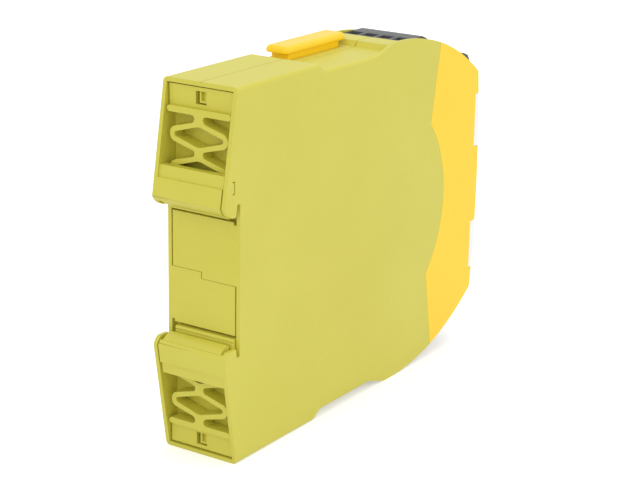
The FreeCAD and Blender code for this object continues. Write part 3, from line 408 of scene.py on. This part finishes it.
block_plastic = moulded_plastic("dark_grey_glass_filled_polyamide", "#38393a", "#2c2d2e",
                                roughness=0.42, grain=0.35 * MM, depth=0.02 * MM)
for end in ("upper", "lower"):
    for row in ("rear", "front"):
        key = end + "_" + row
        work = soften(whole_mesh(key + "_terminal_block"), BLOCK_EDGE)
        block = piece_from(work, key + "_block", key + "_terminals")
        wears(block, block_plastic)
        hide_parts(key + "_terminal_block")
        wears(nodes[key + "_pin_header"], block_plastic)


# Clamp screws, wire cages and pins
# Zinc-plated slotted screws, nickel-plated cages and tin-plated pins. Plating keeps the fine
# lines of the turning and stamping under it and shows as a soft satin metal.

CLOUD_SIZE = 1.2 * MM  # the slightly uneven tone of the plating
TOOL_LINE_DEPTH = 0.01 * MM
SLOT_WIDTH = 0.6 * MM
SLOT_DEPTH = 0.7 * MM
SCREW_EDGE = 0.12 * MM
POLES = 4
ROUND_STEPS = 40


def plated_metal(name, colour, dark, roughness, line):
    """Plated metal with fine tool lines and a slightly cloudy plating."""
    material = bpy.data.materials.new(name)
    material.use_nodes = True
    tree = material.node_tree
    shader = tree.nodes["Principled BSDF"]
    shader.inputs["Metallic"].default_value = 1.0
    place = add_node(tree, "ShaderNodeTexCoord").outputs["Object"]
    cloud = add_node(tree, "ShaderNodeTexNoise", {"Scale": 1 / CLOUD_SIZE, "Detail": 3.0},
                     Vector=place)
    ramp = add_node(tree, "ShaderNodeValToRGB", Fac=cloud.outputs["Fac"])
    ramp.color_ramp.elements[0].position = 0.3
    ramp.color_ramp.elements[0].color = linear(dark)
    ramp.color_ramp.elements[1].position = 0.7
    ramp.color_ramp.elements[1].color = linear(colour)
    tree.links.new(ramp.outputs["Color"], shader.inputs["Base Color"])
    lines = add_node(tree, "ShaderNodeTexNoise", {"Scale": 1 / line, "Detail": 1.0}, Vector=place)
    gloss = add_node(tree, "ShaderNodeMapRange", {"To Min": roughness - 0.06,
                                                  "To Max": roughness + 0.08})
    tree.links.new(lines.outputs["Fac"], gloss.inputs["Value"])
    tree.links.new(gloss.outputs["Result"], shader.inputs["Roughness"])
    bump = add_node(tree, "ShaderNodeBump", {"Strength": 0.3, "Distance": TOOL_LINE_DEPTH},
                    Height=lines.outputs["Fac"])
    tree.links.new(bump.outputs["Normal"], shader.inputs["Normal"])
    return material


zinc = plated_metal("zinc_plated_steel", "#c9cbce", "#aeb2b8", roughness=0.34, line=0.15 * MM)
nickel = plated_metal("nickel_plated_steel", "#c4bfb2", "#a49f92", roughness=0.3, line=0.2 * MM)
tin = plated_metal("tin_plated_brass", "#d3d3cf", "#b9b9b4", roughness=0.4, line=0.2 * MM)


def slab(work, outline, near, far):
    """Adds a closed slab with an outline in X and Z between two depths."""
    rings = [[work.verts.new((x, depth, z)) for x, z in outline] for depth in (near, far)]
    work.faces.new(rings[0])
    work.faces.new(list(reversed(rings[1])))
    for i in range(len(outline)):
        j = (i + 1) % len(outline)
        work.faces.new((rings[0][j], rings[0][i], rings[1][i], rings[1][j]))


def arc_points(middle, radius, start, end, steps):
    """Points along an arc in X and Z, with both ends."""
    turns = [start + (end - start) * step / steps for step in range(steps + 1)]
    return [(middle[0] + radius * math.cos(a), middle[1] + radius * math.sin(a)) for a in turns]


def slotted_screws(node):
    """The row of headless screws, each a round shank with a slot across its face."""
    low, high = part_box(node)
    radius = (high.z - low.z) / 2
    pitch = (high.x - low.x - 2 * radius) / (POLES - 1)
    lean = math.asin(SLOT_WIDTH / 2 / radius)
    work = bmesh.new()
    for number in range(POLES):
        middle = (low.x + radius + pitch * number, low.z + radius)
        shank = arc_points(middle, radius, 0, 2 * math.pi, ROUND_STEPS)[:-1]
        slab(work, shank, low.y + SLOT_DEPTH, high.y)
        for start in (lean, math.pi + lean):
            moon = arc_points(middle, radius, start, start + math.pi - 2 * lean, ROUND_STEPS // 2)
            slab(work, moon, low.y, low.y + SLOT_DEPTH)
    bmesh.ops.recalc_face_normals(work, faces=work.faces)
    face_rim = [e for e in work.edges if all(v.co.y < low.y + LEVEL for v in e.verts)]
    round_edges(work, face_rim, SCREW_EDGE, 2)
    return work


for end in ("upper", "lower"):
    for row in ("rear", "front"):
        key = end + "_" + row
        screws = piece_from(slotted_screws(key + "_clamp_screws"), key + "_slotted_screws",
                            key + "_terminals")
        wears(screws, zinc)
        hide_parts(key + "_clamp_screws")
        wears(nodes[key + "_wire_cages"], nickel)
        wears(nodes[key + "_header_pins"], tin)


# Selector
# A small dark knob with a screwdriver slot, sunk in the front so that it isn't turned by chance,
# on the shaft of a switch on the panel board.

KNOB_EDGE = 0.18 * MM

knob_plastic = moulded_plastic("black_polyamide", "#3a3a3e", "#303034", roughness=0.4,
                               grain=0.25 * MM, depth=0.008 * MM)
work = soften(whole_mesh("selector_knob"), KNOB_EDGE, segments=3)
knob = piece_from(work, "selector_rotor", "selector")
wears(knob, knob_plastic)
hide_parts("selector_knob")
wears(nodes["selector_switch"], knob_plastic)


# Light guides and status lamps
# Clear polycarbonate bars carry the light of five small lamps to the front. They look milky grey
# while the lamps are off.

POLYCARBONATE_IOR = 1.585

guide_plastic = moulded_plastic("clear_polycarbonate", "#dfe3df", "#d2d8d3", roughness=0.12,
                                grain=0.6 * MM, depth=0.002 * MM)
guide_shader = guide_plastic.node_tree.nodes["Principled BSDF"]
guide_shader.inputs["IOR"].default_value = POLYCARBONATE_IOR
wears(nodes["light_guides"], guide_plastic)
lamp_plastic = moulded_plastic("milky_epoxy", "#e6e9e2", "#dadfd6", roughness=0.25,
                               grain=0.3 * MM, depth=0.003 * MM)
wears(nodes["status_lamps"], lamp_plastic)


# Boards
# Glass epoxy boards under green solder mask. The mask is glossy and the copper under it shows as
# a slightly lighter pattern of tracks.

TRACK_SPACING = 4 * MM
RIPPLE_SIZE = 0.4 * MM
RIPPLE_DEPTH = 0.01 * MM


def solder_mask(name, mask, track):
    """Green solder mask with lighter bands where copper runs under it."""
    material = bpy.data.materials.new(name)
    material.use_nodes = True
    tree = material.node_tree
    shader = tree.nodes["Principled BSDF"]
    place = add_node(tree, "ShaderNodeTexCoord").outputs["Object"]
    cells = add_node(tree, "ShaderNodeTexBrick", {
        "Scale": 1 / TRACK_SPACING, "Mortar Size": 0.06, "Color1": linear(mask),
        "Color2": linear(mask), "Mortar": linear(track)})
    turn = add_node(tree, "ShaderNodeMapping", {"Rotation": (0, math.radians(90), 0)}, Vector=place)
    tree.links.new(turn.outputs["Vector"], cells.inputs["Vector"])
    tree.links.new(cells.outputs["Color"], shader.inputs["Base Color"])
    fine = add_node(tree, "ShaderNodeTexNoise", {"Scale": 1 / RIPPLE_SIZE, "Detail": 2.0},
                    Vector=place)
    bump = add_node(tree, "ShaderNodeBump", {"Strength": 0.2, "Distance": RIPPLE_DEPTH},
                    Height=fine.outputs["Fac"])
    tree.links.new(bump.outputs["Normal"], shader.inputs["Normal"])
    shader.inputs["Roughness"].default_value = 0.28
    return material


board_face = solder_mask("green_solder_mask", "#1c5c31", "#2f7d46")
for board in ("main_board", "panel_board"):
    wears(nodes[board], board_face)


# Parts on the main board
# Two sealed relays in cream thermoplastic, a small transformer with a laminated steel core and
# lacquered copper coils, two aluminium capacitors and two black controller chips.

relay_case = moulded_plastic("cream_thermoplastic", "#eae6da", "#e2dece", roughness=0.38,
                             grain=0.3 * MM, depth=0.005 * MM)
chip_epoxy = moulded_plastic("black_moulding_epoxy", "#232325", "#1b1b1d", roughness=0.5,
                             grain=0.12 * MM, depth=0.008 * MM)
core_steel = plated_metal("laminated_silicon_steel", "#5d6066", "#4a4d52", roughness=0.5,
                          line=0.5 * MM)
coil_copper = plated_metal("lacquered_copper_wire", "#b4683a", "#98512a", roughness=0.3,
                           line=0.3 * MM)
can_aluminium = plated_metal("drawn_aluminium", "#c8cace", "#b6b9be", roughness=0.36,
                             line=0.25 * MM)
for name, material in (
    ("upper_relay", relay_case), ("lower_relay", relay_case), ("controllers", chip_epoxy),
    ("transformer_core", core_steel), ("transformer_coils", coil_copper),
    ("capacitors", can_aluminium), ("link_socket", knob_plastic),
):
    wears(nodes[name], material)


# Floor and backdrop
# A plain white studio floor under a white surround. A little glow lifts the floor to pure white
# for the camera and in reflections, and the object still leaves its soft shadow on it.

FLOOR_HALF = 4.0
FLOOR_GAP = 0.02 * MM
FLOOR_GREY = (0.8, 0.8, 0.8, 1)
FLOOR_GLOW = 0.42
SURROUND_LEVEL = 0.84  # how strongly the white surround lights the object
WHITE = (1, 1, 1, 1)


def any_ray(tree, kinds):
    """An output that is 1 for every ray of the given kinds and 0 for all others."""
    rays = add_node(tree, "ShaderNodeLightPath")
    found = rays.outputs[kinds[0]]
    for kind in kinds[1:]:
        either = add_node(tree, "ShaderNodeMath", {"operation": "MAXIMUM"})
        tree.links.new(found, either.inputs[0])
        tree.links.new(rays.outputs[kind], either.inputs[1])
        found = either.outputs["Value"]
    return found


low, high = cad_box
floor_mesh = bmesh.new()
bmesh.ops.create_grid(floor_mesh, x_segments=1, y_segments=1, size=FLOOR_HALF,
                      matrix=Matrix.Translation((0, 0, low.z - FLOOR_GAP)))
mesh = bpy.data.meshes.new("studio_floor")
floor_mesh.to_mesh(mesh)
floor_mesh.free()
floor = bpy.data.objects.new("studio_floor", mesh)
scene.collection.objects.link(floor)
floor_paint = bpy.data.materials.new("white_floor")
floor_paint.use_nodes = True
tree = floor_paint.node_tree
paint = tree.nodes["Principled BSDF"]
paint.inputs["Base Color"].default_value = FLOOR_GREY
paint.inputs["Roughness"].default_value = 0.95
paint.inputs["Emission Color"].default_value = WHITE
seen = any_ray(tree, ("Is Camera Ray", "Is Glossy Ray", "Is Transmission Ray"))
glow = add_node(tree, "ShaderNodeMapRange", {"To Min": 0.0, "To Max": FLOOR_GLOW}, Value=seen)
tree.links.new(glow.outputs["Result"], paint.inputs["Emission Strength"])
floor.data.materials.append(floor_paint)

world = bpy.data.worlds.new("studio_white")
world.use_nodes = True
scene.world = world
tree = world.node_tree
background = tree.nodes["Background"]
background.inputs["Color"].default_value = WHITE
seen = any_ray(tree, ("Is Camera Ray", "Is Glossy Ray"))
level = add_node(tree, "ShaderNodeMapRange", {"To Min": SURROUND_LEVEL, "To Max": 1.0}, Value=seen)
tree.links.new(level.outputs["Result"], background.inputs["Strength"])


# Studio lights
# Three broad soft boxes: the strongest over the left shoulder of the camera, a weaker one on its
# right and one high up beyond the object, so that the top is a little brighter than the side.


def soft_box(name, place, target, size, power):
    """A square area lamp that faces a point."""
    data = bpy.data.lights.new(name, "AREA")
    data.shape = "SQUARE"
    data.size = size
    data.energy = power
    lamp = bpy.data.objects.new(name, data)
    lamp.location = place
    lamp.rotation_mode = "QUATERNION"
    lamp.rotation_quaternion = (Vector(target) - Vector(place)).to_track_quat("-Z", "Y")
    scene.collection.objects.link(lamp)


middle = (low + high) / 2
soft_box("key_box", place=(-0.3, 0.8, 0.5), target=middle, size=0.7, power=1.95)
soft_box("side_box", place=(-0.8, -0.25, 0.35), target=middle, size=0.6, power=1.1)
soft_box("top_box", place=(0.05, -0.35, 0.9), target=middle, size=0.6, power=1.6)


# Camera
# A long lens from the back left and a little above, so that the rail side, the left side and the
# top show. The camera leans by a degree.

CAMERA_PLACE = (-0.258882, 0.339852, 0.141413)
AZIMUTH = math.radians(213.407)
HEIGHT = math.radians(17.239)
ROLL = math.radians(1.055)
SENSOR_WIDTH = 36.0  # in millimetres, as is the focal length
FOCAL_LENGTH = 100.751
NEAREST = 0.01
FARTHEST = 50.0

back = Vector((math.sin(AZIMUTH) * math.cos(HEIGHT), -math.cos(AZIMUTH) * math.cos(HEIGHT),
               math.sin(HEIGHT)))
flat = Vector((math.cos(AZIMUTH), math.sin(AZIMUTH), 0))
rise = back.cross(flat)
across = flat * math.cos(ROLL) + rise * math.sin(ROLL)
upward = rise * math.cos(ROLL) - flat * math.sin(ROLL)
lens = bpy.data.cameras.new("studio_camera")
lens.sensor_width = SENSOR_WIDTH
lens.lens = FOCAL_LENGTH
lens.clip_start = NEAREST
lens.clip_end = FARTHEST
camera = bpy.data.objects.new("studio_camera", lens)
turn = Matrix((across, upward, back)).transposed().to_4x4()
camera.matrix_world = Matrix.Translation(CAMERA_PLACE) @ turn
scene.collection.objects.link(camera)
scene.camera = camera
scene.view_settings.view_transform = "Standard"
